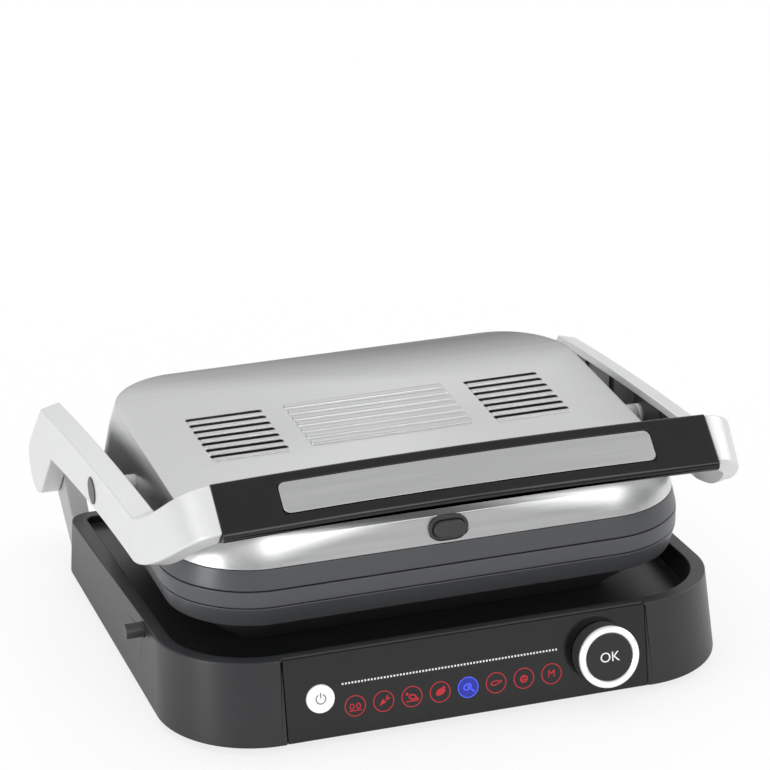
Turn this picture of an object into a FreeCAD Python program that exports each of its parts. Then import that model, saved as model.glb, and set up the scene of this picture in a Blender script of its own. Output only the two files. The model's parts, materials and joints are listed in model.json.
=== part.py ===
import FreeCAD, Part
import math
import os
from FreeCAD import Placement, Rotation, Vector

# Countertop contact grill: a low base with a control panel, a fixed lower cooking unit, and a
# steel-clad lid that hangs between the two arms of a bail handle hinged behind the base.
# Lengths are millimetres. X runs to the right, Y to the back, Z up. The origin lies on the table.

# Base housing
base_bottom = 4.0
base_half_width = 177.0
base_front = -166.0
base_rear = 118.0
base_front_radius = 60.0
base_rear_radius = 14.0
base_side_draft = 3.4
base_wall = 3.0
base_front_wall = 6.0
base_blank_top = 66.0
rim_middle_height = 46.0
rim_fall = 3.32
rim_width = 9.0
deck_height = 34.0
deck_thickness = 2.5

# Bottom cover and feet
cover_thickness = 2.5
cover_gap = 0.3
foot_radius = 11.0
foot_inset = 32.0

# Control panel, measured along the leaning front wall
panel_lean = 11.3
panel_half_width = 113.4
panel_low = 0.6
panel_high = 51.4
panel_thickness = 2.8
panel_seam = 0.3
knob_along = 84.5
knob_up = 26.3
knob_radius = 19.0
knob_height = 15.2
knob_standoff = 0.6
knob_collar_height = 12.2
bush_radius = 12.0
bush_bore = 9.6
bush_height = 11.0
turning_fit = 0.06
ok_cap_radius = 14.6
ok_cap_thickness = 1.7
ok_stem_radius = 9.3
ok_stem_length = 19.3
power_along = -92.2
power_up = 25.2
power_radius = 8.6
power_proud = 1.0
power_cap_thickness = 2.8
power_stem_radius = 4.0
power_stem_length = 9.2
button_gap = 0.3
window_left = -78.0
window_right = 58.0
window_low = 12.0
window_high = 36.0
board_low = 6.0
board_high = 29.5
board_half_width = 108.0
board_thickness = 1.6
board_standoff = 4.0
board_post_radius = 2.5
board_post_clear = 6.0
encoder_radius = 5.0
encoder_height = 3.5
switch_height = 0.8

# Cooking units: the bands stacked between the base and the steel cover
band_half_width = 164.0
band_front = -130.0
band_rear = 116.0
band_radius = 57.0
band_wall = 3.0
band_taper = 3.5
lower_band_bottom = 63.6
lower_band_height = 12.7
band_groove = 0.4
trim_height = 10.5
split_gap = 0.6
lid_band_height = 12.4
pan_inset = 9.0
pan_foot_inset = 46.0

# Grill plates
plate_inset = 5.0
plate_depth = 12.0
plate_floor = 3.0
plate_wall = 7.0
plate_seat_gap = 0.3
ridge_pitch = 16.0
ridge_width = 6.0
ridge_crest = 4.0
ridge_height = 3.0

# Heating elements and reflectors
element_radius = 3.5
heater_sides = 8
element_gap = 0.3
element_pitch = 70.0
element_rear = 92.0
element_front = -62.0
element_turn = 42.0
lower_reflector_inset = 8.0
upper_reflector_inset = 14.0
reflector_sheet = 0.8

# Steel lid cover
cover_sheet = 1.2
cover_inset = 3.0
cover_knee_rise = 16.5
cover_knee_inset = 4.0
cover_crease_rise = 14.0
cover_crease_inset = 10.0
crown_height = 29.5
crown_radius = 2000.0
vent_rows = 7
vent_pitch = 9.3
vent_middle = 6.0
slot_width = 4.4
slot_inner = 67.0
slot_outer = 116.3
rib_half_length = 52.4
rib_radius = 3.4
rib_proud = 1.1

# Release button in the lid's front wall
latch_rise = 8.8
latch_half_width = 9.9
latch_half_height = 5.4
latch_proud = 4.0
latch_depth = 9.0
bezel_border = 2.6
bezel_proud = 1.4

# Release button in the base's left wall
side_button_y = -70.0
side_button_z = 45.0
side_button_radius = 4.6
side_button_proud = 11.3
side_button_inside = 4.0

# Bail handle: arms, grip and hinge
hinge_y = 160.5
hinge_z = 58.0
lobe_radius = 18.8
arm_side_gap = 8.0
arm_thickness = 13.0
arm_top_fall = 3.5
arm_wall = 2.6
arm_rear_top = (138.0, 106.5)
arm_middle_top = (20.0, 121.0)
arm_front_top = (-95.0, 131.0)
arm_notch = (115.0, 80.5)
arm_middle_low = (20.0, 93.5)
arm_front_low = (-95.0, 102.5)
arm_pocket_rear = 112.0
arm_cover_thickness = 3.0
arm_cover_recess = 2.4
arm_rib_height = 1.6
arm_rib_width = 3.0
arm_rib_count = 5
grip_half_length = 152.0
grip_low_y = -174.0
grip_low_z = 150.0
grip_face = 31.4
grip_lean = 49.8
grip_arch = 2.5
arch_steps = 10
grip_front_depth = 8.0
grip_back_depth = 6.0
grip_lip = 3.5
grip_crest = 1.5
corner_sections = 5
corner_power = 1.45
insert_half_length = 114.0
insert_height = 19.6
insert_sheet = 0.9
insert_proud = 0.2
insert_gap = 0.15
insert_corner = 4.0

# Pins
hinge_pin_radius = 6.0
lid_pin_radius = 4.0
seat_fit = 0.02
running_fit = 0.06
lid_pivot_y = 2.0
lid_pivot_z = 107.0
lid_boss_radius = 6.6
lid_boss_gap = 0.5
lid_pivot_inside = 9.0
lid_pivot_plate = 2.5
lid_pivot_half_length = 22.0
pivot_cap_radius = 8.5
pivot_cap_proud = 0.8
bracket_width = 12.0
bracket_gap = 0.6
bracket_radius = 15.0
bracket_flange = 3.0
bracket_flange_width = 33.0
bracket_low = 8.0
bracket_high = 36.0

# Mains side
gland_x = -60.0
gland_z = 18.0
gland_radius = 7.0
gland_bore = 3.8
gland_flange_radius = 11.0
gland_flange = 3.0
gland_inside = 8.0
power_board_length = 96.0
power_board_width = 64.0
power_board_post = 5.0
power_board_y = 40.0
relay_height = 15.0

lean = math.radians(panel_lean)
panel_wall = base_front_wall * math.cos(lean)
panel_place = Placement(Vector(0, base_front, base_bottom), Rotation(Vector(1, 0, 0), 90 - panel_lean))

trim_bottom = lower_band_bottom + lower_band_height + band_groove
trim_top = trim_bottom + trim_height
lid_band_bottom = trim_top + split_gap
lid_band_top = lid_band_bottom + lid_band_height
cover_bottom = lid_band_top + band_groove
crown_top = cover_bottom + crown_height
arm_inner = band_half_width + arm_side_gap
arm_outer = arm_inner + arm_thickness
bracket_outer = arm_inner - bracket_gap
lower_plate_bottom = trim_top - plate_depth
upper_plate_top = lid_band_bottom + plate_depth
far = 400.0


def plan(half_width, front, rear, front_radius, rear_radius, height):
    """Rounded outline at one height, with its own corner radius at the front and at the rear."""
    corners = [
        (half_width - rear_radius, rear - rear_radius, rear_radius, 0),
        (rear_radius - half_width, rear - rear_radius, rear_radius, 90),
        (front_radius - half_width, front + front_radius, front_radius, 180),
        (half_width - front_radius, front + front_radius, front_radius, 270),
    ]
    arcs = []
    for x, y, radius, start in corners:
        turns = [math.radians(start + step) for step in (0, 45, 90)]
        arcs.append([Vector(x + radius * math.cos(a), y + radius * math.sin(a), height) for a in turns])
    edges = []
    for index, (first, middle, last) in enumerate(arcs):
        following = arcs[(index + 1) % len(arcs)][0]
        edges.append(Part.Arc(first, middle, last).toShape())
        edges.append(Part.LineSegment(last, following).toShape())
    return Part.Wire(edges)


def prism(wire, direction):
    return Part.Face(wire).extrude(direction)


def upright(wire, height):
    return prism(wire, Vector(0, 0, height))


def loft(wires, ruled=True):
    return Part.makeLoft(wires, True, ruled)


def disc(radius, length, start, direction):
    return Part.makeCylinder(radius, length, start, direction)


def tube(outer, bore, length, start, direction):
    return disc(outer, length, start, direction).cut(disc(bore, length, start, direction))


def block(low, high):
    size = Vector(*high) - Vector(*low)
    return Part.makeBox(size.x, size.y, size.z, Vector(*low))


def polygon(points):
    return Part.makePolygon([Vector(*p) for p in points] + [Vector(*points[0])])


def mirrored(shape):
    return shape.mirror(Vector(0, 0, 0), Vector(1, 0, 0))


def on_panel(shape):
    return shape.transformed(panel_place.toMatrix())


def half_width_at(height):
    return base_half_width - (height - base_bottom) * math.tan(math.radians(base_side_draft))


def front_at(height):
    return base_front + (height - base_bottom) * math.tan(lean)


def rim_at(y):
    return rim_middle_height - y * math.tan(math.radians(rim_fall))


def above_rim(drop):
    """Everything over the sloping rim of the base, lowered by a wall's thickness."""
    wire = polygon([
        (-far, -far, rim_at(-far) - drop),
        (-far, far, rim_at(far) - drop),
        (-far, far, far),
        (-far, -far, far),
    ])
    return prism(wire, Vector(2 * far, 0, 0))


def base_outline(inset, front_inset, height):
    return plan(half_width_at(height) - inset, front_at(height) + front_inset, base_rear - inset,
                base_front_radius - inset, base_rear_radius - inset, height)


def recess_outline(grow, height):
    front_rim = rim_at(front_at(rim_middle_height))
    return plan(half_width_at(front_rim) - rim_width + grow, front_at(front_rim) + rim_width - grow,
                base_rear - rim_width + grow, base_front_radius - rim_width + grow,
                base_rear_radius - rim_width + grow, height)


def base_housing():
    """Drafted moulding with a sloping rim, a sunk deck and a pocket for the front panel."""
    ends = (base_bottom, base_blank_top)
    outer = loft([base_outline(0, 0, z) for z in ends]).cut(above_rim(0))
    cavity = loft([base_outline(base_wall, base_front_wall, z) for z in ends]).cut(above_rim(base_wall))
    tub_bottom = deck_height - deck_thickness
    tub = upright(recess_outline(deck_thickness, tub_bottom), base_blank_top - tub_bottom).common(outer)
    recess = upright(recess_outline(0, deck_height), base_blank_top - deck_height)
    shell = outer.cut(cavity).fuse(tub).cut(recess)
    side = panel_half_width + panel_seam
    pocket = block((-side, -base_bottom, -panel_thickness), (side, base_blank_top, base_wall))
    shell = shell.cut(on_panel(pocket))
    through = base_front_wall + base_wall
    openings = [
        disc(ok_stem_radius + button_gap, through, Vector(knob_along, knob_up, -through), Vector(0, 0, 1)),
        disc(power_stem_radius + button_gap, through, Vector(power_along, power_up, -through), Vector(0, 0, 1)),
        block((window_left, window_low, -base_front_wall), (window_right, window_high, 0)),
    ]
    for opening in openings:
        shell = shell.cut(on_panel(opening))
    beside_power = power_along + power_stem_radius + board_post_clear
    beside_knob = knob_along - ok_stem_radius - board_post_clear
    for along in (beside_power, beside_knob):
        for up in (board_low + 2 * board_post_radius, board_high - 2 * board_post_radius):
            place = Vector(along, up, -panel_thickness)
            post = disc(board_post_radius, panel_wall - panel_thickness + board_standoff, place, Vector(0, 0, -1))
            shell = shell.fuse(on_panel(post))
    side_hole = disc(side_button_radius + button_gap, 2 * base_wall + side_button_proud,
                     Vector(-half_width_at(side_button_z) - side_button_proud, side_button_y, side_button_z),
                     Vector(1, 0, 0))
    gland_hole = disc(gland_radius, 2 * base_wall, Vector(gland_x, base_rear + base_wall / 2, gland_z),
                      Vector(0, -1, 0))
    return shell.cut(side_hole).cut(gland_hole).removeSplitter()


def bottom_cover():
    inset = base_wall + cover_gap
    plate = upright(base_outline(inset, base_front_wall + cover_gap, base_bottom), cover_thickness)
    return plate.common(loft([base_outline(inset, base_front_wall + cover_gap, z)
                              for z in (base_bottom, base_blank_top)]))


def rubber_feet():
    front = base_front + base_front_wall + foot_inset
    feet = []
    for x in (-1, 1):
        for y in (front, base_rear - foot_inset):
            place = Vector(x * (base_half_width - foot_inset - foot_radius), y, 0)
            feet.append(Part.makeCone(foot_radius - 1, foot_radius, base_bottom, place))
    return Part.makeCompound(feet)


def control_panel():
    plate = block((-panel_half_width, panel_low, -panel_thickness), (panel_half_width, panel_high, 0))
    holes = [
        disc(bush_radius + panel_seam, panel_thickness, Vector(knob_along, knob_up, -panel_thickness),
             Vector(0, 0, 1)),
        disc(power_radius + button_gap, panel_thickness, Vector(power_along, power_up, -panel_thickness),
             Vector(0, 0, 1)),
    ]
    for hole in holes:
        plate = plate.cut(hole)
    return on_panel(plate)


def light_guide():
    gap = panel_seam
    return on_panel(block((window_left + gap, window_low + gap, -panel_wall),
                          (window_right - gap, window_high - gap, -panel_thickness)))


def control_board():
    back = -panel_wall - board_standoff - board_thickness
    board = block((-board_half_width, board_low, back), (board_half_width, board_high, back + board_thickness))
    switch_half = power_stem_radius
    switch = block((power_along - switch_half, power_up - switch_half, back + board_thickness),
                   (power_along + switch_half, power_up + switch_half, back + board_thickness + switch_height))
    return on_panel(board.fuse(switch))


def rotary_encoder():
    floor = -panel_wall - board_standoff
    return on_panel(disc(encoder_radius, encoder_height, Vector(knob_along, knob_up, floor), Vector(0, 0, 1)))


def knob_bush():
    return on_panel(tube(bush_radius, bush_bore, panel_thickness + bush_height,
                         Vector(knob_along, knob_up, -panel_thickness), Vector(0, 0, 1)))


def knob_collar():
    """Turning collar, counterbored at the top so that the pushed cap sinks into it."""
    place = Vector(knob_along, knob_up, knob_standoff)
    body = tube(knob_radius, bush_radius + turning_fit, knob_collar_height - knob_standoff, place, Vector(0, 0, 1))
    sink = disc(ok_cap_radius + button_gap, knob_collar_height, Vector(knob_along, knob_up, bush_height),
                Vector(0, 0, 1))
    return on_panel(body.cut(sink))


def knob_ring():
    bore = ok_cap_radius + button_gap
    height = knob_height - knob_collar_height
    ring = tube(knob_radius, bore, height, Vector(knob_along, knob_up, knob_collar_height), Vector(0, 0, 1))
    rim = [e for e in ring.Edges if abs(e.CenterOfMass.z - knob_height) < 1e-6]
    return on_panel(ring.makeChamfer(height / 3, rim))


def ok_button():
    top = knob_height - 2 * button_gap
    cap = disc(ok_cap_radius, ok_cap_thickness, Vector(knob_along, knob_up, top - ok_cap_thickness),
               Vector(0, 0, 1))
    stem = disc(ok_stem_radius, ok_stem_length, Vector(knob_along, knob_up, top - ok_stem_length), Vector(0, 0, 1))
    return on_panel(cap.fuse(stem).removeSplitter())


def power_button():
    cap = disc(power_radius, power_cap_thickness, Vector(power_along, power_up, power_proud - power_cap_thickness),
               Vector(0, 0, 1))
    stem = disc(power_stem_radius, power_stem_length, Vector(power_along, power_up, power_proud - power_stem_length),
                Vector(0, 0, 1))
    return on_panel(cap.fuse(stem).removeSplitter())


def side_button():
    wall = half_width_at(side_button_z)
    length = side_button_proud + side_button_inside
    body = disc(side_button_radius, length, Vector(-wall - side_button_proud, side_button_y, side_button_z),
                Vector(1, 0, 0))
    return body


def band_outline(inset, height):
    return plan(band_half_width - inset, band_front + inset, band_rear - inset, band_radius - inset,
                band_radius - inset, height)


def lower_housing():
    """Band over a tapering pan that stands on the deck of the base; hollow, open at the top."""
    top = lower_band_bottom + lower_band_height
    band = loft([band_outline(band_taper, lower_band_bottom), band_outline(0, top)])
    pan = loft([band_outline(pan_foot_inset, deck_height), band_outline(pan_inset, lower_band_bottom)])
    floor = lower_band_bottom + band_wall
    hollow = loft([band_outline(band_taper + band_wall, floor), band_outline(band_wall, top)])
    sump = loft([band_outline(pan_foot_inset + band_wall, deck_height + band_wall),
                 band_outline(pan_inset + band_wall, floor)])
    return band.fuse(pan).cut(hollow).cut(sump).removeSplitter()


def lower_trim():
    """Ring that carries the rim of the lower grill plate."""
    outer = upright(band_outline(0, trim_bottom), trim_height)
    seat = upright(band_outline(plate_inset - plate_seat_gap, trim_bottom), trim_height)
    return outer.cut(seat)


def grill_plate(base_height):
    """Cast plate, open on top: a rim, a sunk floor and ridges from front to back."""
    edge = plate_inset
    block_ = upright(band_outline(edge, base_height), plate_depth)
    hollow = upright(band_outline(edge + plate_wall, base_height + plate_floor), plate_depth)
    plate = block_.cut(hollow)
    inner = band_half_width - edge - plate_wall
    count = int((inner - ridge_pitch) / ridge_pitch)
    floor = base_height + plate_floor
    for index in range(-count, count + 1):
        middle = index * ridge_pitch
        section = polygon([
            (middle - ridge_width / 2, -far, floor),
            (middle + ridge_width / 2, -far, floor),
            (middle + ridge_crest / 2, -far, floor + ridge_height),
            (middle - ridge_crest / 2, -far, floor + ridge_height),
        ])
        ridge = prism(section, Vector(0, 2 * far, 0))
        reach = upright(band_outline(edge + 2 * plate_wall, floor), ridge_height)
        plate = plate.fuse(ridge.common(reach))
    return plate.removeSplitter()


def turned_over(shape, height):
    """The same piece upside down, mirrored through a level plane."""
    return shape.mirror(Vector(0, 0, height), Vector(0, 0, 1))


def heating_element(height):
    """Bent tubular heater: four legs joined by three half turns, ends at the rear."""
    half = element_pitch / 2
    edges = []
    for leg in range(4):
        x = (leg - 1.5) * element_pitch
        low, high = element_front, element_rear if leg in (0, 3) else element_turn
        start, end = (high, low) if leg % 2 == 0 else (low, high)
        edges.append(Part.LineSegment(Vector(x, start, height), Vector(x, end, height)).toShape())
        if leg < 3:
            bulge = -half if leg % 2 == 0 else half
            edges.append(Part.Arc(Vector(x, end, height), Vector(x + half, end + bulge, height),
                                  Vector(x + element_pitch, end, height)).toShape())
    path = Part.Wire(edges)
    start = Vector(-1.5 * element_pitch, element_rear, height)
    sides = [math.radians(360 * (side + 0.5) / heater_sides) for side in range(heater_sides)]
    ring = polygon([(start.x + element_radius * math.cos(a), start.y, height + element_radius * math.sin(a))
                    for a in sides])
    return path.makePipeShell([ring], True, False)


def reflector(inset):
    """Folded sheet tray under a heating element, open on top."""
    floor = lower_plate_bottom - 2 * element_gap - 2 * element_radius - reflector_sheet
    depth = lower_plate_bottom - plate_seat_gap - floor
    outer = upright(band_outline(inset, floor), depth)
    inner = upright(band_outline(inset + reflector_sheet, floor + reflector_sheet), depth)
    return outer.cut(inner)


def lid_frame():
    outer = loft([band_outline(0, lid_band_bottom), band_outline(cover_inset, lid_band_top)])
    seat = upright(band_outline(plate_inset - plate_seat_gap, lid_band_bottom), lid_band_height)
    return outer.cut(seat)


def cover_blank(shrink):
    """Lofted walls with a knee, closed by a slightly crowned top; shrink gives the inside."""
    knee = cover_bottom + cover_knee_rise
    top = knee + cover_crease_rise
    walls = loft([
        band_outline(cover_inset + shrink, cover_bottom),
        band_outline(cover_inset + cover_knee_inset + shrink, knee),
        band_outline(cover_inset + cover_knee_inset + cover_crease_inset + shrink, top),
    ])
    centre = Vector(0, 0, crown_top - crown_radius - shrink)
    crown = Part.makeSphere(crown_radius, centre, Vector(1, 0, 0))
    return walls.common(crown)


def vent_line(row):
    return vent_middle + (row - (vent_rows - 1) / 2) * vent_pitch


def slot_outline(left, right, y, width, height):
    half = width / 2
    bottom_left, bottom_right = Vector(left + half, y - half, height), Vector(right - half, y - half, height)
    top_right, top_left = Vector(right - half, y + half, height), Vector(left + half, y + half, height)
    return Part.Wire([
        Part.LineSegment(bottom_left, bottom_right).toShape(),
        Part.Arc(bottom_right, Vector(right, y, height), top_right).toShape(),
        Part.LineSegment(top_right, top_left).toShape(),
        Part.Arc(top_left, Vector(left, y, height), bottom_left).toShape(),
    ])


def latch_outline(grow, y):
    """Oval of the release button on the lid's front wall."""
    half = latch_half_width + grow
    height = latch_half_height + grow
    level = cover_bottom + latch_rise
    flat = half - height
    return Part.Wire([
        Part.LineSegment(Vector(-flat, y, level - height), Vector(flat, y, level - height)).toShape(),
        Part.Arc(Vector(flat, y, level - height), Vector(half, y, level),
                 Vector(flat, y, level + height)).toShape(),
        Part.LineSegment(Vector(flat, y, level + height), Vector(-flat, y, level + height)).toShape(),
        Part.Arc(Vector(-flat, y, level + height), Vector(-half, y, level),
                 Vector(-flat, y, level - height)).toShape(),
    ])


def cover_front():
    """Where the lid's front wall stands at the height of the release button."""
    return band_front + cover_inset + latch_rise * cover_knee_inset / cover_knee_rise


def lid_cover():
    """Thin pressed cover: open vent slots at both sides, raised ribs in the middle."""
    inside = cover_blank(cover_sheet)
    cover = cover_blank(0).cut(inside)
    for row in range(vent_rows):
        y = vent_line(row)
        for left, right in ((-slot_outer, -slot_inner), (slot_inner, slot_outer)):
            slot = upright(slot_outline(left, right, y, slot_width, cover_bottom + cover_knee_rise), far)
            cover = cover.cut(slot)
        axis = crown_top + rib_proud - rib_radius
        rib = disc(rib_radius, 2 * rib_half_length, Vector(-rib_half_length, y, axis), Vector(1, 0, 0))
        cover = cover.fuse(rib.cut(inside))
    latch_hole = prism(latch_outline(bezel_border - button_gap, band_front - latch_proud),
                       Vector(0, latch_depth + latch_proud, 0))
    cover = cover.cut(latch_hole)
    for side in (-1, 1):
        hole = disc(lid_boss_radius + button_gap, far, Vector(0, lid_pivot_y, lid_pivot_z), Vector(side, 0, 0))
        cover = cover.cut(hole)
    return cover.removeSplitter()


def latch_bezel():
    front = cover_front() - bezel_proud
    ring = prism(latch_outline(bezel_border, front), Vector(0, bezel_proud, 0))
    neck = prism(latch_outline(bezel_border - 2 * button_gap, front), Vector(0, latch_depth, 0))
    bore = prism(latch_outline(button_gap, front), Vector(0, latch_depth, 0))
    face_cut = cover_blank(0)
    return ring.cut(face_cut).fuse(neck).cut(bore).removeSplitter()


def latch_button():
    front = cover_front() - latch_proud
    body = prism(latch_outline(0, front), Vector(0, latch_depth, 0))
    rim = [e for e in body.Edges if abs(e.CenterOfMass.y - front) < 1e-6]
    return body.makeFillet(latch_proud / 3, rim)


def lid_pivot():
    """Left bracket on the lid frame, with the boss that reaches through the cover to the arm."""
    outer = band_half_width + arm_side_gap - lid_boss_gap
    inner = band_half_width - lid_pivot_inside
    boss = disc(lid_boss_radius, outer - inner, Vector(-outer, lid_pivot_y, lid_pivot_z), Vector(1, 0, 0))
    foot = block((-inner, lid_pivot_y - lid_pivot_half_length, upper_plate_top + plate_seat_gap),
                 (-inner + lid_pivot_plate, lid_pivot_y + lid_pivot_half_length, lid_pivot_z + lid_boss_radius))
    bore = disc(lid_pin_radius + running_fit, far, Vector(-far, lid_pivot_y, lid_pivot_z), Vector(1, 0, 0))
    return boss.fuse(foot).cut(bore).removeSplitter()


def tangent(point, towards_rear):
    """Point where a straight line from point touches the hinge lobe."""
    away = Vector(point[0] - hinge_y, point[1] - hinge_z, 0)
    turn = math.acos(lobe_radius / away.Length)
    angle = math.atan2(away.y, away.x) + (-turn if towards_rear else turn)
    return (hinge_y + lobe_radius * math.cos(angle), hinge_z + lobe_radius * math.sin(angle))


def arm_outline(x, lift):
    """Side view of an arm: a gently bowed bar that hooks down to the hinge lobe at its rear."""
    def at(point, rise=0):
        return Vector(x, point[0], point[1] + rise)

    rear = tangent((arm_rear_top[0], arm_rear_top[1] + lift), True)
    front = tangent(arm_notch, False)
    bottom = (hinge_y, hinge_z - lobe_radius)
    return Part.Wire([
        Part.Arc(at(arm_front_top, lift), at(arm_middle_top, lift), at(arm_rear_top, lift)).toShape(),
        Part.LineSegment(at(arm_rear_top, lift), at(rear)).toShape(),
        Part.Arc(at(rear), at(bottom), at(front)).toShape(),
        Part.LineSegment(at(front), at(arm_notch)).toShape(),
        Part.Arc(at(arm_notch), at(arm_middle_low), at(arm_front_low)).toShape(),
        Part.LineSegment(at(arm_front_low), at(arm_front_top, lift)).toShape(),
    ])


def grip_point(along, depth):
    """Point of the grip's section: along its leaning face from the lower edge, depth behind it."""
    turn = math.radians(grip_lean)
    return (grip_low_y + along * math.sin(turn) + depth * math.cos(turn),
            grip_low_z + along * math.cos(turn) - depth * math.sin(turn))


def corner_section(turn):
    """Section of the left arm's corner: it sweeps forward, inward and up to the end of the grip."""
    angle = turn * math.pi / 2
    sweep, keep = math.sin(angle), math.cos(angle)
    climb = sweep ** corner_power
    low_end, top_end = grip_point(0, 0), grip_point(grip_face, 0)
    x = -grip_half_length - (arm_outer - grip_half_length) * keep
    low = Vector(x, arm_front_low[0] + (low_end[0] - arm_front_low[0]) * sweep,
                 arm_front_low[1] + (low_end[1] - arm_front_low[1]) * climb)
    top = Vector(x, arm_front_top[0] + (top_end[0] - arm_front_top[0]) * sweep,
                 arm_front_top[1] + (top_end[1] - arm_front_top[1]) * climb)
    lean_angle = math.radians(grip_lean)
    inward = Vector(keep, sweep * math.cos(lean_angle), -sweep * math.sin(lean_angle)) * arm_thickness
    raised = Vector(0, 0, arm_top_fall * keep)
    points = [low, top, top + inward + raised, low + inward]
    return Part.makePolygon(points + [low])


def arm_pocket(inset, deep_from, deep_to):
    """Hollow of the left arm, open towards the lid and ending ahead of the hinge hook."""
    outline = arm_outline(0, 0).makeOffset2D(-inset)
    outline.translate(Vector(-deep_from, 0, 0))
    hollow = prism(outline, Vector(deep_from - deep_to, 0, 0))
    return hollow.common(block((-far, arm_front_low[0], 0), (0, arm_pocket_rear - inset, far)))


def left_arm():
    bar = loft([arm_outline(-arm_outer, 0), arm_outline(-arm_inner, arm_top_fall)])
    steps = corner_sections - 1
    corner = loft([corner_section(step / steps) for step in range(corner_sections)], False)
    arm = bar.fuse(corner)
    pocket = arm_pocket(arm_wall, arm_outer - arm_wall, arm_inner)
    boss = disc(lid_boss_radius, arm_thickness - arm_wall, Vector(-arm_inner, lid_pivot_y, lid_pivot_z),
                Vector(-1, 0, 0))
    arm = arm.cut(pocket.cut(boss))
    hinge_bore = disc(hinge_pin_radius + running_fit, arm_thickness, Vector(arm_wall - arm_outer, hinge_y, hinge_z),
                      Vector(1, 0, 0))
    pin_bore = disc(lid_pin_radius + seat_fit, far, Vector(-far, lid_pivot_y, lid_pivot_z), Vector(1, 0, 0))
    return arm.cut(hinge_bore).cut(pin_bore).removeSplitter()


def left_arm_cover():
    """Dark inner cover of an arm, sunk in its hollow, with upright ribs."""
    front = arm_inner + arm_cover_recess
    inset = arm_wall + button_gap
    plate = arm_pocket(inset, front + arm_cover_thickness, front)
    ribs = arm_pocket(inset, front, front - arm_rib_height)
    span = arm_pocket_rear - arm_front_low[0]
    for index in range(arm_rib_count):
        y = arm_front_low[0] + span * (index + 0.5) / arm_rib_count
        slab = block((-far, y - arm_rib_width / 2, 0), (0, y + arm_rib_width / 2, far))
        plate = plate.fuse(ribs.common(slab))
    boss = disc(lid_boss_radius + button_gap, far, Vector(-far, lid_pivot_y, lid_pivot_z), Vector(1, 0, 0))
    return plate.cut(boss).removeSplitter()


def grip_section(x, low, high, front, back, lip, crest):
    """Section across the grip at x, rounded at its lower lip and crest, on the arched line."""
    rise = grip_arch * (1 - (x / grip_half_length) ** 2)

    def at(along, depth):
        y, z = grip_point(along, depth)
        return Vector(x, y, z + rise)

    middle = (front + back) / 2
    return Part.Wire([
        Part.LineSegment(at(high, front), at(low, front)).toShape(),
        Part.Arc(at(low, front), at(low - lip, middle), at(low, back)).toShape(),
        Part.LineSegment(at(low, back), at(high, back)).toShape(),
        Part.Arc(at(high, back), at(high + crest, middle), at(high, front)).toShape(),
    ])


def grip_solid(half_length, low, high, front, back, lip, crest):
    steps = [half_length * (2 * step / arch_steps - 1) for step in range(arch_steps + 1)]
    return loft([grip_section(x, low, high, front, back, lip, crest) for x in steps])


def insert_solid(gap, sheet_back):
    """Thin arched plate on the face of the grip."""
    low = (grip_face - insert_height) / 2 - gap
    high = (grip_face + insert_height) / 2 + gap

    def section(x):
        rise = grip_arch * (1 - (x / grip_half_length) ** 2)
        corners = [(low, -insert_proud), (high, -insert_proud), (high, sheet_back), (low, sheet_back)]
        points = []
        for along, depth in corners:
            y, z = grip_point(along, depth)
            points.append((x, y, z + rise))
        return polygon(points)

    half = insert_half_length + gap
    steps = [half * (2 * step / arch_steps - 1) for step in range(arch_steps + 1)]
    return loft([section(x) for x in steps])


def grip_front():
    bar = grip_solid(grip_half_length, 0, grip_face, 0, grip_front_depth, grip_lip, grip_crest)
    return bar.cut(insert_solid(insert_gap, insert_sheet - insert_proud)).removeSplitter()


def grip_back():
    inset = grip_crest
    return grip_solid(grip_half_length, inset, grip_face - inset, grip_front_depth,
                      grip_front_depth + grip_back_depth, grip_crest, grip_crest)


def grip_insert():
    plate = insert_solid(0, insert_sheet - insert_proud)
    corners = [e for e in plate.Edges if abs(e.Length - insert_sheet) < 0.05]
    return plate.makeFillet(insert_corner, corners)


def lid_pin():
    inner = band_half_width - lid_pivot_inside + lid_pivot_plate
    length = arm_outer - inner
    return disc(lid_pin_radius, length, Vector(-arm_outer, lid_pivot_y, lid_pivot_z), Vector(1, 0, 0))


def pivot_cap():
    cap = disc(pivot_cap_radius, pivot_cap_proud, Vector(-arm_outer, lid_pivot_y, lid_pivot_z), Vector(-1, 0, 0))
    rim = [e for e in cap.Edges if abs(e.CenterOfMass.x + arm_outer + pivot_cap_proud) < 1e-6]
    return cap.makeChamfer(pivot_cap_proud / 2, rim)


def hinge_bracket():
    """Left bracket: a flange on the base's rear wall and a web that rises to the hinge eye."""
    outer = -bracket_outer
    inner = outer + bracket_width
    root = base_rear
    eye = disc(bracket_radius, bracket_width, Vector(outer, hinge_y, hinge_z), Vector(1, 0, 0))
    web = prism(polygon([
        (outer, root, bracket_low),
        (outer, root + bracket_flange, bracket_low),
        (outer, hinge_y + bracket_radius * math.cos(math.radians(45)),
         hinge_z - bracket_radius * math.sin(math.radians(45))),
        (outer, hinge_y - bracket_radius * math.cos(math.radians(45)),
         hinge_z + bracket_radius * math.sin(math.radians(45))),
        (outer, root + bracket_flange, bracket_high),
        (outer, root, bracket_high),
    ]), Vector(bracket_width, 0, 0))
    flange = block((outer, root, bracket_low), (outer + bracket_flange_width, root + bracket_flange, bracket_high))
    bore = disc(hinge_pin_radius + seat_fit, far, Vector(-far, hinge_y, hinge_z), Vector(1, 0, 0))
    return eye.fuse(web).fuse(flange).cut(bore).removeSplitter()


def hinge_pin():
    outer = arm_outer - arm_wall - button_gap
    inner = bracket_outer - bracket_width
    return disc(hinge_pin_radius, outer - inner, Vector(-outer, hinge_y, hinge_z), Vector(1, 0, 0))


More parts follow.
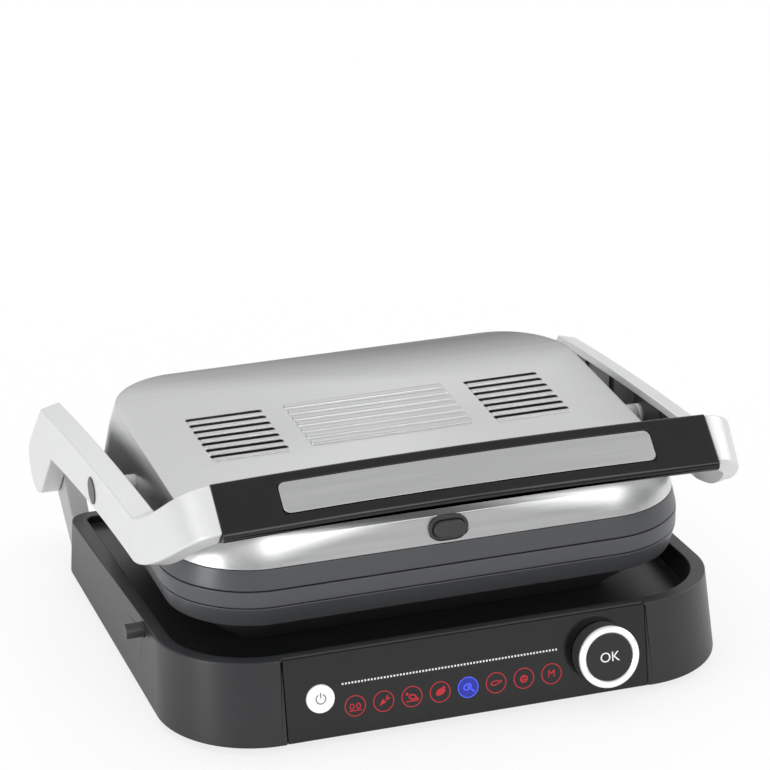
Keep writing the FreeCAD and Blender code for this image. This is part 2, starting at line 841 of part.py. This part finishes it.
def cord_gland():
    start = Vector(gland_x, base_rear + gland_flange, gland_z)
    flange = disc(gland_flange_radius, gland_flange, start, Vector(0, -1, 0))
    body = disc(gland_radius - seat_fit, gland_flange + gland_inside, start, Vector(0, -1, 0))
    bore = disc(gland_bore, gland_flange + gland_inside, start, Vector(0, -1, 0))
    return flange.fuse(body).cut(bore).removeSplitter()


def power_board():
    """Mains board on four posts, with its relay and filter block."""
    floor = base_bottom + cover_thickness
    half_x, half_y = power_board_length / 2, power_board_width / 2
    low = floor + power_board_post
    board = block((-half_x, power_board_y - half_y, low), (half_x, power_board_y + half_y, low + board_thickness))
    for x in (-1, 1):
        for y in (-1, 1):
            post = disc(board_post_radius, power_board_post,
                        Vector(x * (half_x - 2 * board_post_radius),
                               power_board_y + y * (half_y - 2 * board_post_radius), floor), Vector(0, 0, 1))
            board = board.fuse(post)
    relay = block((-half_x / 2, power_board_y - half_y / 2, low + board_thickness),
                  (0, power_board_y + half_y / 2, low + board_thickness + relay_height))
    return board.fuse(relay).removeSplitter()


pieces = {
    "base_housing": base_housing(),
    "bottom_cover": bottom_cover(),
    "rubber_feet": rubber_feet(),
    "control_panel": control_panel(),
    "light_guide": light_guide(),
    "control_board": control_board(),
    "rotary_encoder": rotary_encoder(),
    "knob_bush": knob_bush(),
    "knob_collar": knob_collar(),
    "knob_ring": knob_ring(),
    "ok_button": ok_button(),
    "power_button": power_button(),
    "side_release_button": side_button(),
    "power_board": power_board(),
    "cord_gland": cord_gland(),
    "lower_housing": lower_housing(),
    "lower_trim": lower_trim(),
    "lower_reflector": reflector(lower_reflector_inset),
    "lower_heating_element": heating_element(lower_plate_bottom - element_gap - element_radius),
    "lower_grill_plate": grill_plate(lower_plate_bottom),
    "lid_frame": lid_frame(),
    "upper_grill_plate": turned_over(grill_plate(lower_plate_bottom), trim_top + split_gap / 2),
    "upper_heating_element": heating_element(upper_plate_top + element_gap + element_radius),
    "upper_reflector": turned_over(reflector(upper_reflector_inset), trim_top + split_gap / 2),
    "lid_cover": lid_cover(),
    "latch_bezel": latch_bezel(),
    "latch_button": latch_button(),
    "grip_front": grip_front(),
    "grip_back": grip_back(),
    "grip_insert": grip_insert(),
}
paired = {
    "arm": left_arm(),
    "arm_cover": left_arm_cover(),
    "lid_pivot": lid_pivot(),
    "lid_pin": lid_pin(),
    "pivot_cap": pivot_cap(),
    "hinge_bracket": hinge_bracket(),
    "hinge_pin": hinge_pin(),
}
for name, shape in paired.items():
    pieces["left_" + name] = shape
    pieces["right_" + name] = mirrored(shape)

os.makedirs("parts", exist_ok=True)
for name, shape in pieces.items():
    shape.exportStep("parts/" + name + ".step")
    box = shape.BoundBox
    print(name, len(shape.Solids), shape.isValid(), round(shape.Volume),
          [round(v, 1) for v in (box.XMin, box.XMax, box.YMin, box.YMax, box.ZMin, box.ZMax)])
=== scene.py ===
import json
import math
import bpy
from mathutils import Matrix, Vector


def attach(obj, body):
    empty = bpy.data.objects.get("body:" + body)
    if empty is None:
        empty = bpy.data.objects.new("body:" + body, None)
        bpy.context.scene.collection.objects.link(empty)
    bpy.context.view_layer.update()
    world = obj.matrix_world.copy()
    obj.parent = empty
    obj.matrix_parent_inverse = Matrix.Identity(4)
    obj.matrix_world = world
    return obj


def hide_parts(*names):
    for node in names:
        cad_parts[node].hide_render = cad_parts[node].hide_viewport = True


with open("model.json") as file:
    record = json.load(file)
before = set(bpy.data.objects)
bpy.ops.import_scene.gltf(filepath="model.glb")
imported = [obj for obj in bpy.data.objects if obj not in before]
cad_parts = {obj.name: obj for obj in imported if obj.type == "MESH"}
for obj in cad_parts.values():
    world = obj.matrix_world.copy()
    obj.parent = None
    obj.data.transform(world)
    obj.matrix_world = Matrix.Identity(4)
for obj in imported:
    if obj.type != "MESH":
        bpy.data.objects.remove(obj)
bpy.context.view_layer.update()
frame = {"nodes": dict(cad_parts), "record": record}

node = frame["nodes"]

# Camera and light: a long lens above the left front of the grill, as in a catalogue picture.
# A large soft box hangs over the grill, and two paler ones stand at its left and in front.
view_azimuth = math.radians(-18.43)
view_elevation = math.radians(24.31)
view_roll = math.radians(-0.45)
view_target = Vector((0.00082, 0, 0.08007))
view_distance = 2.1739
sight = Vector((math.sin(view_azimuth) * math.cos(view_elevation),
                -math.cos(view_azimuth) * math.cos(view_elevation), math.sin(view_elevation)))
level = Vector((math.cos(view_azimuth), math.sin(view_azimuth), 0))
rise = sight.cross(level)
right_edge = level * math.cos(view_roll) + rise * math.sin(view_roll)
upper_edge = rise * math.cos(view_roll) - level * math.sin(view_roll)

camera = bpy.data.objects.new("camera", bpy.data.cameras.new("camera"))
bpy.context.scene.collection.objects.link(camera)
camera.data.sensor_width = 36
camera.data.lens = 162.06
camera.data.shift_x = 0.0032
camera.data.shift_y = 0.1366
camera.data.clip_end = 50
camera.matrix_world = Matrix.Translation(view_target + sight * view_distance) @ Matrix(
    (right_edge, upper_edge, sight)).transposed().to_4x4()
bpy.context.scene.camera = camera
bpy.context.scene.view_settings.view_transform = "Standard"


def soft_box(name, place, aim, width, height, watts):
    lamp = bpy.data.lights.new(name, "AREA")
    lamp.shape = "RECTANGLE"
    lamp.size = width
    lamp.size_y = height
    lamp.energy = watts
    lamp_object = bpy.data.objects.new(name, lamp)
    bpy.context.scene.collection.objects.link(lamp_object)
    lamp_object.matrix_world = Matrix.Translation(place) @ (
        Vector(place) - Vector(aim)).to_track_quat("Z", "Y").to_matrix().to_4x4()
    return lamp_object


top_box = soft_box("top_box", (0.0, 0.25, 1.6), (0, 0, 0.1), 1.8, 1.4, 17)
top_box.visible_glossy = False
soft_box("left_box", (-1.7, -0.65, 0.35), (0, 0, 0.05), 0.6, 0.9, 11)
soft_box("front_box", (0.5, -2.0, 0.9), (0, 0, 0.1), 1.4, 0.7, 7)
soft_box("right_box", (1.7, 0.1, 0.7), (0, 0, 0.1), 0.8, 1.0, 5)


# Shader sums: one wrapper round a socket, so that masks and patterns are written as sums.
# Every other node comes from its add method, with settings first and then sockets.
class Link:
    def __init__(self, tree, socket=None):
        self.tree = tree
        self.socket = socket

    def add(self, kind, settings=None, sockets=None, out=0):
        made = self.tree.nodes.new("ShaderNode" + kind)
        for name, value in (settings or {}).items():
            if name == "stops":
                ramp = made.color_ramp.elements
                for element, (place, tone) in zip(ramp, value):
                    element.position = place
                    element.color = tone
            else:
                setattr(made, name, value)
        for name, value in (sockets or {}).items():
            self.feed(made.inputs[name], value)
        return Link(self.tree, made.outputs[out])

    def feed(self, socket, value):
        if isinstance(value, Link):
            self.tree.links.new(value.socket, socket)
        else:
            socket.default_value = value

    def sum(self, operation, first, second):
        return self.add("Math", {"operation": operation}, {0: first, 1: second})

    def __add__(self, other):
        return self.sum("ADD", self, other)

    def __sub__(self, other):
        return self.sum("SUBTRACT", self, other)

    def __rsub__(self, other):
        return self.sum("SUBTRACT", other, self)

    def __mul__(self, other):
        return self.sum("MULTIPLY", self, other)

    __radd__ = __add__
    __rmul__ = __mul__


def grain(tree, stretch, scale, detail=3.0):
    """Noise on the piece's own coordinates, drawn out along an axis by its stretch."""
    place = tree.add("TexCoord", out=3)
    drawn = tree.add("Mapping", {"vector_type": "POINT"}, {"Vector": place, "Scale": stretch})
    return tree.add("TexNoise", None, {"Vector": drawn, "Scale": scale, "Detail": detail}, out=0)


def blend_tones(tree, mask, dark, light):
    return tree.add("Mix", {"data_type": "RGBA"}, {0: mask, 6: (*dark, 1), 7: (*light, 1)}, out=2)


def finish(name, tone, varied=None, roughness=0.4, spread=0.0, grain_size=400.0, stretch=(1, 1, 1), bump=0.0,
           bump_depth=0.0001, **fixed):
    """Surface whose tone and gloss drift a little over a grain; fixed values sit on the shader itself."""
    made = bpy.data.materials.new(name)
    made.use_nodes = True
    tree = Link(made.node_tree)
    shader = made.node_tree.nodes["Principled BSDF"]
    speck = grain(tree, stretch, grain_size)
    tree.feed(shader.inputs["Base Color"], blend_tones(tree, speck, tone, varied or tone))
    tree.feed(shader.inputs["Roughness"], speck * spread + (roughness - spread / 2))
    if bump:
        relief = tree.add("Bump", None, {"Strength": bump, "Distance": bump_depth, "Height": speck})
        tree.feed(shader.inputs["Normal"], relief)
    for socket, value in fixed.items():
        shader.inputs[socket.replace("_", " ")].default_value = value
    return made


def dress(material, *names):
    for name in names:
        slots = node[name].data.materials
        slots.clear()
        slots.append(material)


# Floor: a plain pale sheet under the grill, which takes its soft shadow.
# The camera sees it and the sky as white paper, and bright surfaces mirror the pale ceiling.
bpy.ops.object.select_all(action="DESELECT")
bpy.ops.mesh.primitive_plane_add(size=14, location=(0, 0, -0.0002))
floor = bpy.context.object
floor.name = "floor"
paper = bpy.data.materials.new("paper")
paper.use_nodes = True
paper_tree = Link(paper.node_tree)
paper_shader = paper.node_tree.nodes["Principled BSDF"]
paper_shader.inputs["Base Color"].default_value = (0.9, 0.9, 0.9, 1)
paper_shader.inputs["Roughness"].default_value = 0.9
paper_shader.inputs["Specular IOR Level"].default_value = 0.0
from_middle = paper_tree.add("VectorMath", {"operation": "LENGTH"}, {0: paper_tree.add("TexCoord", out=3)}, out=1)
fade = paper_tree.add("MapRange", None, {"Value": from_middle, "From Min": 0.22, "From Max": 0.6,
                                         "To Min": 0.8, "To Max": 1.0})
seen = paper_tree.add("LightPath", out=0) + paper_tree.add("LightPath", out=3) * 0.2
white_paper = paper_tree.add("Emission", None, {"Color": (1, 1, 1, 1), "Strength": 1.0})
mixed = paper_tree.add("MixShader", None, {0: seen * fade, 1: Link(paper.node_tree, paper_shader.outputs[0]),
                                           2: white_paper})
paper_tree.feed(paper.node_tree.nodes["Material Output"].inputs["Surface"], mixed)
floor.data.materials.append(paper)

sky = bpy.data.worlds.new("studio")
bpy.context.scene.world = sky
sky.use_nodes = True
sky_tree = Link(sky.node_tree)
camera_ray = sky_tree.add("LightPath", out=0)
glossy_ray = sky_tree.add("LightPath", out=3)
height = sky_tree.add("SeparateXYZ", None, {0: sky_tree.add("TexCoord", out=0)}, out=2)
wall = sky_tree.add("MapRange", {"interpolation_type": "SMOOTHSTEP"},
                    {"Value": height, "From Min": 0.08, "From Max": 0.42, "To Min": 0.16, "To Max": 0.95})
zenith = sky_tree.add("MapRange", {"interpolation_type": "SMOOTHSTEP"},
                      {"Value": height, "From Min": 0.55, "From Max": 0.95, "To Min": 0.0, "To Max": 0.42})
ceiling = wall - zenith
backdrop = sky.node_tree.nodes["Background"]
backdrop.inputs["Color"].default_value = (1, 1, 1, 1)
sky_tree.feed(backdrop.inputs["Strength"], camera_ray * 0.5 + glossy_ray * (ceiling - 0.5) + 0.5)


# Base: one charcoal moulding with a satin skin, closed below by a screwed cover.
# Its edges are rounded as they leave the mould, and the rear carries a gland for the lead.
body_of = {name: body for body, names in frame["record"]["behaviour"]["bodies"].items() for name in names}


def start_edit(piece):
    bpy.ops.object.select_all(action="DESELECT")
    bpy.context.view_layer.objects.active = piece
    piece.select_set(True)
    bpy.ops.object.mode_set(mode="EDIT")
    bpy.ops.mesh.select_all(action="SELECT")


def belongs(piece, body, material):
    piece.data.materials.clear()
    piece.data.materials.append(material)
    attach(piece, body)


def soften(name, edge, material, flat=0.4):
    """The piece with its triangles merged and its hard edges rounded off, in place of the bare solid."""
    piece = bpy.data.objects.new(name + "_moulded", node[name].data.copy())
    bpy.context.scene.collection.objects.link(piece)
    start_edit(piece)
    bpy.ops.mesh.remove_doubles(threshold=0.00001)
    if flat:
        bpy.ops.mesh.dissolve_limited(angle_limit=math.radians(flat))
    bpy.ops.object.mode_set(mode="OBJECT")
    rounding = piece.modifiers.new("rounding", "BEVEL")
    rounding.width = edge
    rounding.segments = 3
    rounding.limit_method = "ANGLE"
    rounding.angle_limit = math.radians(28)
    rounding.use_clamp_overlap = False
    bpy.ops.object.modifier_apply(modifier="rounding")
    bpy.ops.object.shade_smooth_by_angle(angle=math.radians(40))
    even = piece.modifiers.new("even", "WEIGHTED_NORMAL")
    even.keep_sharp = True
    bpy.ops.object.modifier_apply(modifier="even")
    belongs(piece, body_of[name], material)
    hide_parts(name)
    return piece


charcoal = finish("charcoal", (0.022, 0.023, 0.025), (0.03, 0.031, 0.033), 0.34, 0.08, 900, bump=0.05)
soften("base_housing", 0.001, charcoal, 0)
soften("bottom_cover", 0.0006, charcoal, 0)
soften("cord_gland", 0.0006, charcoal)
dress(charcoal, "knob_bush")
foot_rubber = finish("foot_rubber", (0.015, 0.015, 0.015), (0.03, 0.03, 0.03), 0.75, 0.1, 500, bump=0.2)
soften("rubber_feet", 0.001, foot_rubber)

# Control panel: one flush sheet of gloss black plastic, with the light guide and the board behind it.
# Ring marks and a dotted scale are printed on its back and lit in red, the chosen one in blue.
gloss_black = finish("gloss_black", (0.006, 0.006, 0.007), (0.009, 0.009, 0.01), 0.2, 0.04, 40, Coat_Weight=0.25,
                     Coat_Roughness=0.05, Specular_IOR_Level=0.35)
dress(gloss_black, "control_panel")
dress(finish("light_guide", (0.75, 0.77, 0.8), roughness=0.2), "light_guide")
dress(finish("board_green", (0.01, 0.09, 0.03), (0.02, 0.13, 0.05), 0.4, 0.1, 300), "control_board", "power_board")
panel_lean = math.radians(11.3)
panel_place = Matrix.Translation((0, -0.166, 0.004)) @ Matrix.Rotation(math.radians(90) - panel_lean, 4, "X")
print_thickness = 0.00006


def flat_shape(sides, u, v, width, height, turn=0, border=0):
    """One flat outline on the drawing plane in mm; with a border only its rim stays."""
    bpy.ops.object.select_all(action="DESELECT")
    if sides == 4:
        bpy.ops.mesh.primitive_plane_add(size=0.001, location=(u / 1000, v / 1000, 0),
                                         rotation=(0, 0, math.radians(turn)))
    else:
        bpy.ops.mesh.primitive_circle_add(vertices=sides, radius=0.0005, fill_type="NGON",
                                          location=(u / 1000, v / 1000, 0), rotation=(0, 0, math.radians(turn)))
    shape = bpy.context.object
    shape.scale = (width, height, 1)
    bpy.ops.object.transform_apply(location=True, rotation=True, scale=True)
    if border:
        start_edit(shape)
        bpy.ops.mesh.inset(thickness=border / 1000)
        bpy.ops.mesh.delete(type="FACE")
        bpy.ops.object.mode_set(mode="OBJECT")
    return shape


def joined(shapes, name):
    bpy.ops.object.select_all(action="DESELECT")
    for shape in shapes:
        shape.select_set(True)
    bpy.context.view_layer.objects.active = shapes[0]
    if len(shapes) > 1:
        bpy.ops.object.join()
    piece = bpy.context.object
    piece.name = name
    return piece


def printed(shapes, name, height, body, material):
    """Flat outlines as a thin print at a height over the panel's face."""
    piece = joined(shapes, name)
    film = piece.modifiers.new("film", "SOLIDIFY")
    film.thickness = print_thickness
    film.offset = 1
    bpy.ops.object.modifier_apply(modifier="film")
    piece.matrix_world = panel_place @ Matrix.Translation((0, 0, height))
    bpy.ops.object.transform_apply(location=True, rotation=True, scale=True)
    belongs(piece, body, material)
    return piece


def lettering(word, u, v, size):
    bpy.ops.object.select_all(action="DESELECT")
    bpy.ops.object.text_add(location=(u / 1000, v / 1000, 0))
    written = bpy.context.object
    written.data.body = word
    written.data.size = size / 1000
    written.data.align_x = "CENTER"
    written.data.align_y = "CENTER"
    bpy.ops.object.convert(target="MESH")
    bpy.ops.object.transform_apply(location=True, rotation=True, scale=True)
    return bpy.context.object


scale_start = -78.0
scale_pitch = 2.0
scale_marks = 68


def in_rows(piece, rows, step):
    copies = piece.modifiers.new("rows", "ARRAY")
    copies.count = rows
    copies.use_relative_offset = False
    copies.use_constant_offset = True
    copies.constant_offset_displace = step
    bpy.ops.object.modifier_apply(modifier="rows")
    return piece


tick = in_rows(flat_shape(4, scale_start, 32.0, 1.05, 1.15), scale_marks, (scale_pitch / 1000, 0, 0))
scale_white = finish("scale_white", (0.8, 0.8, 0.8), (0.7, 0.7, 0.7), 0.5, 0.1, 600, Emission_Strength=0.25,
                     Emission_Color=(1, 1, 1, 1))
printed([tick], "dotted_scale", 0.00001, "base", scale_white)

mark_start = -71.3
mark_pitch = 17.64
mark_height = 17.5
mark_radius = 6.5
pictograms = {
    "eggs": [(24, -2.0, -0.3, 3.0, 3.8, 0, 0.6), (24, 2.0, -0.3, 3.0, 3.8, 0, 0.6), (4, 0, -2.9, 7.4, 0.6, 0, 0)],
    "carrot": [(3, -0.6, -0.6, 3.6, 6.0, 130, 0), (16, 2.2, 1.9, 1.2, 3.2, -15, 0), (16, 2.6, 1.2, 1.2, 3.0, -75, 0)],
    "bird": [(24, 0.4, -0.3, 5.2, 3.6, -20, 0.9), (12, -2.9, 1.9, 1.8, 1.8, 0, 0), (4, 0, -2.7, 7.6, 0.7, 0, 0),
             (16, 2.8, -1.4, 2.6, 1.4, -30, 0)],
    "steak": [(24, 0.3, 0.1, 6.4, 4.0, 28, 0), (12, 2.4, 2.4, 1.8, 1.8, 0, 0)],
    "fillet": [(24, -0.4, 0.4, 5.6, 4.2, 24, 0.8), (16, 0.2, 0.6, 1.6, 1.6, 0, 0), (4, 2.8, -2.2, 2.8, 0.9, -45, 0)],
    "fish": [(24, -0.6, 0, 6.0, 3.0, 8, 0.6), (3, 3.1, 0.5, 2.2, 2.2, 98, 0), (8, -2.2, 0.3, 0.7, 0.7, 0, 0)],
    "toast": [(8, 0, -0.4, 5.4, 4.8, 22.5, 0.8), (4, 0, 0.7, 4.4, 0.7, 0, 0), (4, 0, -0.9, 3.2, 0.7, 0, 0)],
}
chosen_mark = "fillet"
lit_red = finish("lit_red", (0.34, 0.008, 0.014), (0.22, 0.006, 0.01), 0.4, 0.1, 500, Emission_Strength=0.3,
                 Emission_Color=(1, 0.03, 0.05, 1))
lit_blue = finish("lit_blue", (0.05, 0.09, 0.7), (0.04, 0.07, 0.6), 0.4, 0.1, 500, Emission_Strength=0.55,
                  Emission_Color=(0.08, 0.14, 1, 1))
glow_blue = finish("glow_blue", (0.01, 0.015, 0.25), (0.008, 0.012, 0.2), 0.4, 0.1, 500, Emission_Strength=0.2,
                   Emission_Color=(0.05, 0.08, 1, 1))
for place, (mark, shapes) in enumerate([*pictograms.items(), ("manual", [])]):
    mark_u = mark_start + place * mark_pitch
    outline = [flat_shape(48, mark_u, mark_height, 2 * mark_radius, 2 * mark_radius, 0, 0.55)]
    outline += [flat_shape(sides, mark_u + u, mark_height + v, *rest) for sides, u, v, *rest in shapes]
    if mark == "manual":
        outline.append(lettering("M", mark_u, mark_height, 6.4))
    printed(outline, mark + "_mark", 0.00002, "base", lit_blue if mark == chosen_mark else lit_red)
    if mark == chosen_mark:
        printed([flat_shape(48, mark_u, mark_height, 12, 12)], "chosen_glow", 0.00001 - print_thickness, "base",
                glow_blue)

# Power key: a white cap in the panel's left end, with its stem behind the sheet.
# The sign on it is the common open ring and bar, printed in grey.
cap_white = finish("cap_white", (0.86, 0.86, 0.86), (0.83, 0.83, 0.83), 0.3, 0.06, 300, Emission_Strength=0.3,
                   Emission_Color=(1, 1, 1, 1))
soften("power_button", 0.0005, cap_white)


def face_height(name):
    return max((panel_place.inverted() @ point.co).z for point in node[name].data.vertices)


power_u = -92.2
power_v = 25.2
open_ring = flat_shape(40, power_u, power_v, 6.6, 6.6, 0, 0.7)
start_edit(open_ring)
bpy.ops.mesh.select_all(action="DESELECT")
bpy.ops.object.mode_set(mode="OBJECT")
for face in open_ring.data.polygons:
    face.select = abs(face.center.x - power_u / 1000) < 0.0012 and face.center.y > power_v / 1000
bpy.ops.object.mode_set(mode="EDIT")
bpy.ops.mesh.delete(type="FACE")
bpy.ops.object.mode_set(mode="OBJECT")
sign_grey = finish("sign_grey", (0.2, 0.2, 0.21), (0.26, 0.26, 0.27), 0.5, 0.1, 500)
printed([open_ring, flat_shape(4, power_u, power_v + 2.2, 0.75, 3.4)], "power_sign", face_height("power_button"),
        "power_key", sign_grey)

# Turning knob: a dark collar on a bush, faced with a chrome ring made brighter by a painted glow; the black cap
# inside it is a press key.
# The word on the cap is printed in white.
dark_plastic = finish("dark_plastic", (0.035, 0.036, 0.038), (0.05, 0.05, 0.053), 0.38, 0.1, 900, bump=0.05)
soften("knob_collar", 0.0006, dark_plastic)
# The ring's emission is a painted glow: it stands in for the ring's bright reflection, and the ring is no lamp.
chrome = finish("chrome", (0.92, 0.92, 0.92), (0.88, 0.88, 0.88), 0.24, 0.06, 300, Metallic=0.7,
                Emission_Strength=0.3, Emission_Color=(1, 1, 1, 1))
soften("knob_ring", 0.0003, chrome)
cap_black = finish("cap_black", (0.012, 0.012, 0.013), (0.02, 0.02, 0.021), 0.32, 0.08, 500, bump=0.04)
soften("ok_button", 0.0004, cap_black)
printed([lettering("OK", 84.5, 26.3, 8.6)], "ok_word", face_height("ok_button"), "ok_key", scale_white)
dress(dark_plastic, "rotary_encoder")
soften("side_release_button", 0.0006, dark_plastic)

# Bands of the cooking units: anthracite mouldings with a satin metallic look, split where the grill opens.
# The plates between them are cast and coated, and the heaters lie under them on bright sheets.
anthracite = finish("anthracite", (0.085, 0.088, 0.094), (0.11, 0.113, 0.118), 0.36, 0.08, 1200, bump=0.04,
                    Metallic=0.35)
for band in ("lower_housing", "lower_trim", "lid_frame"):
    soften(band, 0.0008, anthracite)
plate_coating = finish("plate_coating", (0.02, 0.02, 0.021), (0.04, 0.04, 0.04), 0.5, 0.15, 700, bump=0.15)
for plate in ("lower_grill_plate", "upper_grill_plate"):
    soften(plate, 0.0006, plate_coating)
dress(finish("bright_sheet", (0.75, 0.75, 0.75), (0.7, 0.7, 0.7), 0.3, 0.1, 300, Metallic=1.0), "lower_reflector",
      "upper_reflector")
dress(finish("heater_sheath", (0.2, 0.18, 0.17), (0.3, 0.28, 0.26), 0.45, 0.1, 300, Metallic=0.9),
      "lower_heating_element", "upper_heating_element")

# Lid cover: stainless sheet, brushed from side to side, pressed with steep walls and a flat top.
# The outer vents are slots with rolled lips, and the middle field has closed ribs.
steel = finish("brushed_steel", (0.68, 0.685, 0.69), (0.78, 0.785, 0.79), 0.32, 0.12, 1.0, (3, 900, 900), bump=0.06,
               bump_depth=0.0002, Metallic=1.0, Anisotropic=0.5)
sheet_thickness = 0.0012
top_slope = 0.025
lid_levels = (
    (0.1006, 0.161, -0.127, 0.113, 0.054, 0.054, 0),
    (0.1171, 0.157, -0.123, 0.112, 0.051, 0.036, 0),
    (0.1287, 0.1525, -0.1165, 0.109, 0.047, 0.024, top_slope),
    (0.1294, 0.1505, -0.1145, 0.107, 0.045, 0.022, top_slope),
)


def pressed_outline(level, half_width, front, rear, front_radius, rear_radius, slope):
    """One outline of the cover: a flat sheet with its corners rounded, larger at the front."""
    bpy.ops.object.select_all(action="DESELECT")
    bpy.ops.mesh.primitive_plane_add(size=1, location=(0, (front + rear) / 2, level))
    sheet = bpy.context.object
    sheet.scale = (2 * half_width, rear - front, 1)
    bpy.ops.object.transform_apply(location=True, rotation=True, scale=True)
    for end, radius in ((front, front_radius), (rear, rear_radius)):
        for point in sheet.data.vertices:
            point.select = abs(point.co.x) > half_width - 0.0001 and abs(point.co.y - end) < 0.0001
        bpy.ops.object.mode_set(mode="EDIT")
        bpy.ops.mesh.select_mode(type="VERT")
        bpy.ops.mesh.bevel(offset=radius, segments=14, affect="VERTICES")
        bpy.ops.mesh.select_all(action="DESELECT")
        bpy.ops.object.mode_set(mode="OBJECT")
    for point in sheet.data.vertices:
        point.co.z += point.co.y * slope
    if level < lid_levels[-1][0]:
        start_edit(sheet)
        bpy.ops.mesh.delete(type="ONLY_FACE")
        bpy.ops.object.mode_set(mode="OBJECT")
    return sheet


def cut_from(piece, cutter):
    bpy.context.view_layer.objects.active = piece
    opening = piece.modifiers.new("opening", "BOOLEAN")
    opening.operation = "DIFFERENCE"
    opening.solver = "EXACT"
    opening.object = cutter
    bpy.ops.object.modifier_apply(modifier="opening")
    bpy.data.objects.remove(cutter)


def round_bar(length, width, height, place, edge):
    """A bar along the lid, rounded over on its sides and ends."""
    bpy.ops.object.select_all(action="DESELECT")
    bpy.ops.mesh.primitive_cube_add(size=1, location=place)
    bar = bpy.context.object
    bar.scale = (length, width, height)
    bpy.ops.object.transform_apply(location=True, rotation=True, scale=True)
    start_edit(bar)
    bpy.ops.mesh.bevel(offset=edge, segments=5)
    bpy.ops.object.mode_set(mode="OBJECT")
    bpy.ops.object.shade_smooth_by_angle(angle=math.radians(60))
    return bar


lid_shell = joined([pressed_outline(*level) for level in lid_levels], "lid_shell")
start_edit(lid_shell)
bpy.ops.mesh.bridge_edge_loops()
bpy.ops.mesh.select_all(action="SELECT")
bpy.ops.mesh.remove_doubles(threshold=0.000001)
bpy.ops.mesh.normals_make_consistent(inside=False)
bpy.ops.object.mode_set(mode="OBJECT")
wall = lid_shell.modifiers.new("sheet", "SOLIDIFY")
wall.thickness = sheet_thickness
wall.offset = -1
bpy.ops.object.modifier_apply(modifier="sheet")

vent_rows = 7
vent_pitch = 0.0093
vent_step = (0, vent_pitch, vent_pitch * top_slope)
first_row = 0.006 - 3 * vent_pitch
top_middle = 0.1294
for side in (-1, 1):
    slot = round_bar(0.0493, 0.0044, 0.02, (side * 0.09165, first_row, top_middle + first_row * top_slope), 0.0015)
    cut_from(lid_shell, in_rows(slot, vent_rows, vent_step))
    bpy.ops.object.select_all(action="DESELECT")
    bpy.ops.mesh.primitive_cylinder_add(vertices=32, radius=0.0069, depth=0.04, location=(side * 0.16, 0.002, 0.107),
                                        rotation=(0, math.radians(90), 0))
    cut_from(lid_shell, bpy.context.object)
latch_cut = round_bar(0.0244, 0.02, 0.0154, (0, -0.125, 0.1094), 0.0074)
cut_from(lid_shell, latch_cut)
bpy.ops.object.select_all(action="DESELECT")
lid_shell.select_set(True)
bpy.context.view_layer.objects.active = lid_shell
bpy.ops.object.shade_smooth_by_angle(angle=math.radians(24))
belongs(lid_shell, "lid", steel)
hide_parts("lid_cover")

for side, group in ((-1, "left_vent_lips"), (1, "right_vent_lips")):
    lip_y = first_row - 0.0046
    lips = round_bar(0.0485, 0.0036, 0.002, (side * 0.09165, lip_y, top_middle + lip_y * top_slope), 0.0009)
    lips = in_rows(lips, vent_rows, vent_step)
    lips.name = group
    belongs(lips, "lid", steel)
ribs = round_bar(0.1048, 0.0056, 0.0026, (0, first_row, top_middle + first_row * top_slope), 0.0012)
ribs = in_rows(ribs, vent_rows, vent_step)
ribs.name = "middle_ribs"
belongs(ribs, "lid", steel)

# Lid latch: an oval press key in a dark bezel, set in the cover's front wall.
# Both are plain mouldings.
soften("latch_bezel", 0.0005, dark_plastic)
soften("latch_button", 0.0005, dark_plastic)

# Arms: light silver castings with a satin coat, hollow towards the lid and closed there by dark covers.
# Steel pins carry the lid between them, and each hooked end turns on a post at the rear.
silver = finish("satin_silver", (0.7, 0.705, 0.71), (0.76, 0.765, 0.77), 0.36, 0.08, 1500, bump=0.04, Metallic=0.25)
pin_steel = finish("pin_steel", (0.5, 0.5, 0.5), (0.6, 0.6, 0.6), 0.3, 0.1, 800, Metallic=1.0)
bracket_grey = finish("bracket_grey", (0.4, 0.4, 0.41), (0.46, 0.46, 0.47), 0.42, 0.08, 900, bump=0.05)
for side in ("left", "right"):
    soften(side + "_arm", 0.0012, silver)
    soften(side + "_arm_cover", 0.0005, dark_plastic)
    soften(side + "_pivot_cap", 0.0004, dark_plastic)
    soften(side + "_hinge_bracket", 0.001, bracket_grey)
    dress(bracket_grey, side + "_lid_pivot")
    dress(pin_steel, side + "_lid_pin", side + "_hinge_pin")

# Grip: two arched halves between the arms, gloss black in front and satin behind.
# A brushed steel strip is let into the front half.
soften("grip_front", 0.0008, gloss_black)
soften("grip_back", 0.0008, dark_plastic)
strip_steel = finish("strip_steel", (0.62, 0.625, 0.63), (0.72, 0.725, 0.73), 0.36, 0.12, 1.0, (3, 900, 900),
                     bump=0.08, bump_depth=0.0002, Metallic=1.0, Anisotropic=0.5)
soften("grip_insert", 0.0003, strip_steel)

for part in node.values():
    part.data.shade_smooth()
